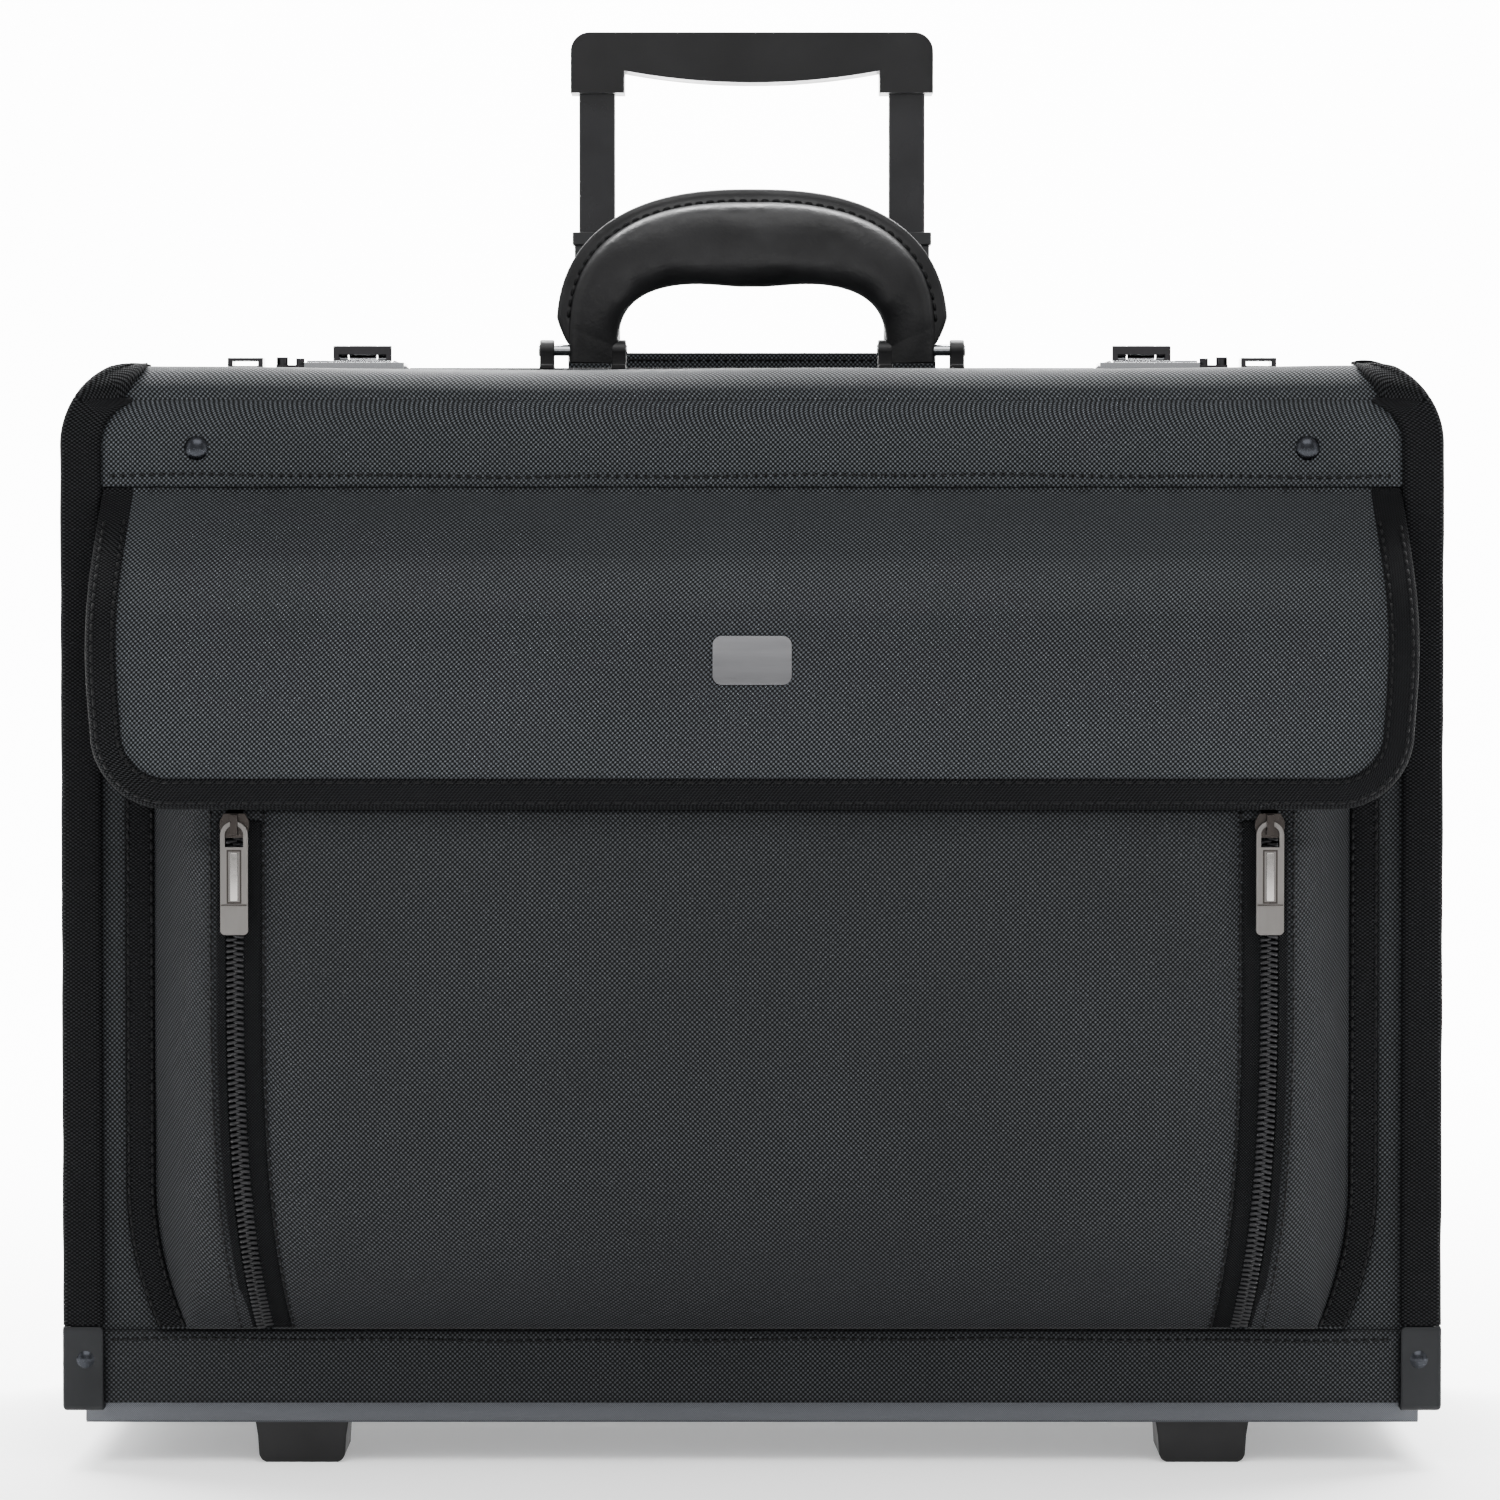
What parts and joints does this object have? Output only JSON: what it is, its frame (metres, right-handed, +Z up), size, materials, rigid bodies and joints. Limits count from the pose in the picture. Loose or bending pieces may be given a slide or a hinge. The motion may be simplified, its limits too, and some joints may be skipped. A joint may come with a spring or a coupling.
{
  "type": "pilot rolling flight case",
  "caption": "Dark woven nylon pilot case on two wheels, with split lid, two locks, padded front pocket under a flap, carry handle and pull-out handle.",
  "frame": {"origin": "middle of the case's outline on the floor", "axes": "+Z up, front with the pocket faces -Y, X across the width"},
  "size_m": [0.462, 0.2646, 0.494],
  "materials": {
    "nylon": "woven, matte",
    "webbing": "ribbed webbing, matte",
    "protector_plastic": "satin",
    "black_plastic": "matte",
    "gunmetal": "satin",
    "chrome": "polished",
    "nickel": "satin",
    "steel": "plain",
    "zip_tape": "woven tape",
    "zip_coil": "glossy coil",
    "leather_look": "grained, semi-gloss",
    "lining": "plain lining",
    "tyre": "matte",
    "hub": "satin",
    "tube_black": "gloss black coat",
    "tube_bare": "satin"
  },
  "bodies": {
    "case": {"front_panel": "nylon", "rear_panel": "nylon", "left_side_panel": "nylon", "right_side_panel": "nylon", "base_panel": "black_plastic", "hem_band": "nylon", "base_band": "nylon", "left_edge_binding": "webbing", "right_edge_binding": "webbing", "left_corner_protector": "protector_plastic", "right_corner_protector": "protector_plastic", "dome_rivets": "gunmetal", "front_feet": "black_plastic", "left_wheel_housing": "protector_plastic", "right_wheel_housing": "protector_plastic", "wheel_axles": "steel", "left_pocket_wall": "nylon", "right_pocket_wall": "nylon", "pocket_upper_front": "nylon", "pocket_bindings": "webbing", "zip_outer_tapes": "zip_tape", "trolley_outer_tubes": "tube_bare", "trolley_bottom_bracket": "black_plastic", "trolley_sleeve": "nylon", "trolley_bezel": "nylon", "padded_divider": "lining"},
    "front_lid": {"front_lid_shell": "nylon", "handle_lugs": "black_plastic", "handle_pins": "chrome", "lock_bases": "chrome", "end_clips": "chrome", "side_tag": "webbing"},
    "rear_lid": {"rear_lid_shell": "nylon", "hasp_brackets": "chrome"},
    "carry_handle": {"carry_handle_core": "leather_look", "carry_handle_welt": "leather_look"},
    "hasp_left": {"left_hasp": "chrome"},
    "hasp_right": {"right_hasp": "chrome"},
    "lock_lever_left": {"left_lock_lever": "chrome"},
    "lock_lever_right": {"right_lock_lever": "chrome"},
    "pocket_flap": {"flap_panel": "nylon", "flap_binding": "webbing", "flap_plate": "nickel"},
    "pocket_panel": {"drop_panel": "nylon", "zip_chains": "zip_coil"},
    "zip_slider_left": {"left_zip_slider": "nickel"},
    "zip_slider_right": {"right_zip_slider": "nickel"},
    "zip_pull_left": {"left_zip_pull": "nickel"},
    "zip_pull_right": {"right_zip_pull": "nickel"},
    "wheel_left": {"left_wheel_tyre": "tyre", "left_wheel_hub": "hub"},
    "wheel_right": {"right_wheel_tyre": "tyre", "right_wheel_hub": "hub"},
    "trolley_lower": {"trolley_mid_tubes": "tube_black"},
    "trolley_upper": {"trolley_inner_tubes": "tube_black", "trolley_grip": "black_plastic"},
    "grip_release": {"release_button": "protector_plastic", "release_rods": "steel"}
  },
  "joints": [
    {"name": "front_lid_hinge", "type": "hinge", "parent": "case", "child": "front_lid", "pos_m": [0, -0.0959, 0.35715], "axis": [1, 0, 0], "range_deg": [0, 180]},
    {"name": "rear_lid_hinge", "type": "hinge", "parent": "case", "child": "rear_lid", "pos_m": [0, 0.1098, 0.3685], "axis": [-1, 0, 0], "range_deg": [0, 90]},
    {"name": "carry_handle_pins", "type": "hinge", "parent": "front_lid", "child": "carry_handle", "pos_m": [0, -0.0137, 0.3755], "axis": [-1, 0, 0], "range_deg": [-70, 70]},
    {"name": "hasp_left_hinge", "type": "hinge", "parent": "rear_lid", "child": "hasp_left", "pos_m": [-0.136, 0.0133, 0.3754], "axis": [-1, 0, 0], "range_deg": [0, 110]},
    {"name": "hasp_right_hinge", "type": "hinge", "parent": "rear_lid", "child": "hasp_right", "pos_m": [0.136, 0.0133, 0.3754], "axis": [-1, 0, 0], "range_deg": [0, 110]},
    {"name": "lock_lever_left_slide", "type": "slide", "parent": "front_lid", "child": "lock_lever_left", "axis": [-1, 0, 0], "range_m": [0, 0.003], "stiffness_N_per_m": 150, "springref_m": -0.001},
    {"name": "lock_lever_right_slide", "type": "slide", "parent": "front_lid", "child": "lock_lever_right", "axis": [1, 0, 0], "range_m": [0, 0.003], "stiffness_N_per_m": 150, "springref_m": -0.001},
    {"name": "flap_hinge", "type": "hinge", "parent": "case", "child": "pocket_flap", "pos_m": [0, -0.0951, 0.326], "axis": [1, 0, 0], "range_deg": [-120, 0]},
    {"name": "pocket_panel_hinge", "type": "hinge", "parent": "case", "child": "pocket_panel", "pos_m": [0, -0.0962, 0.046], "axis": [1, 0, 0], "range_deg": [0, 75]},
    {"name": "zip_left_slide", "type": "slide", "parent": "pocket_panel", "child": "zip_slider_left", "axis": [0, 0, -1], "range_m": [0, 0.1]},
    {"name": "zip_right_slide", "type": "slide", "parent": "pocket_panel", "child": "zip_slider_right", "axis": [0, 0, -1], "range_m": [0, 0.1]},
    {"name": "zip_pull_left_hinge", "type": "hinge", "parent": "zip_slider_left", "child": "zip_pull_left", "pos_m": [-0.1706, -0.1279, 0.2174], "axis": [-1, 0, 0], "range_deg": [0, 120]},
    {"name": "zip_pull_right_hinge", "type": "hinge", "parent": "zip_slider_right", "child": "zip_pull_right", "pos_m": [0.1706, -0.1279, 0.2174], "axis": [-1, 0, 0], "range_deg": [0, 120]},
    {"name": "wheel_left_axle", "type": "hinge", "parent": "case", "child": "wheel_left", "pos_m": [-0.205, 0.0963, 0.025], "axis": [1, 0, 0], "continuous": true},
    {"name": "wheel_right_axle", "type": "hinge", "parent": "case", "child": "wheel_right", "pos_m": [0.205, 0.0963, 0.025], "axis": [1, 0, 0], "continuous": true},
    {"name": "trolley_lower_slide", "type": "slide", "parent": "case", "child": "trolley_lower", "axis": [0, 0, 1], "range_m": [-0.039, 0.22]},
    {"name": "trolley_upper_slide", "type": "slide", "parent": "trolley_lower", "child": "trolley_upper", "axis": [0, 0, 1], "range_m": [-0.048, 0.22]},
    {"name": "grip_release_slide", "type": "slide", "parent": "trolley_upper", "child": "grip_release", "axis": [0, 0, -1], "range_m": [0, 0.003], "stiffness_N_per_m": 400, "springref_m": -0.002}
  ]
}
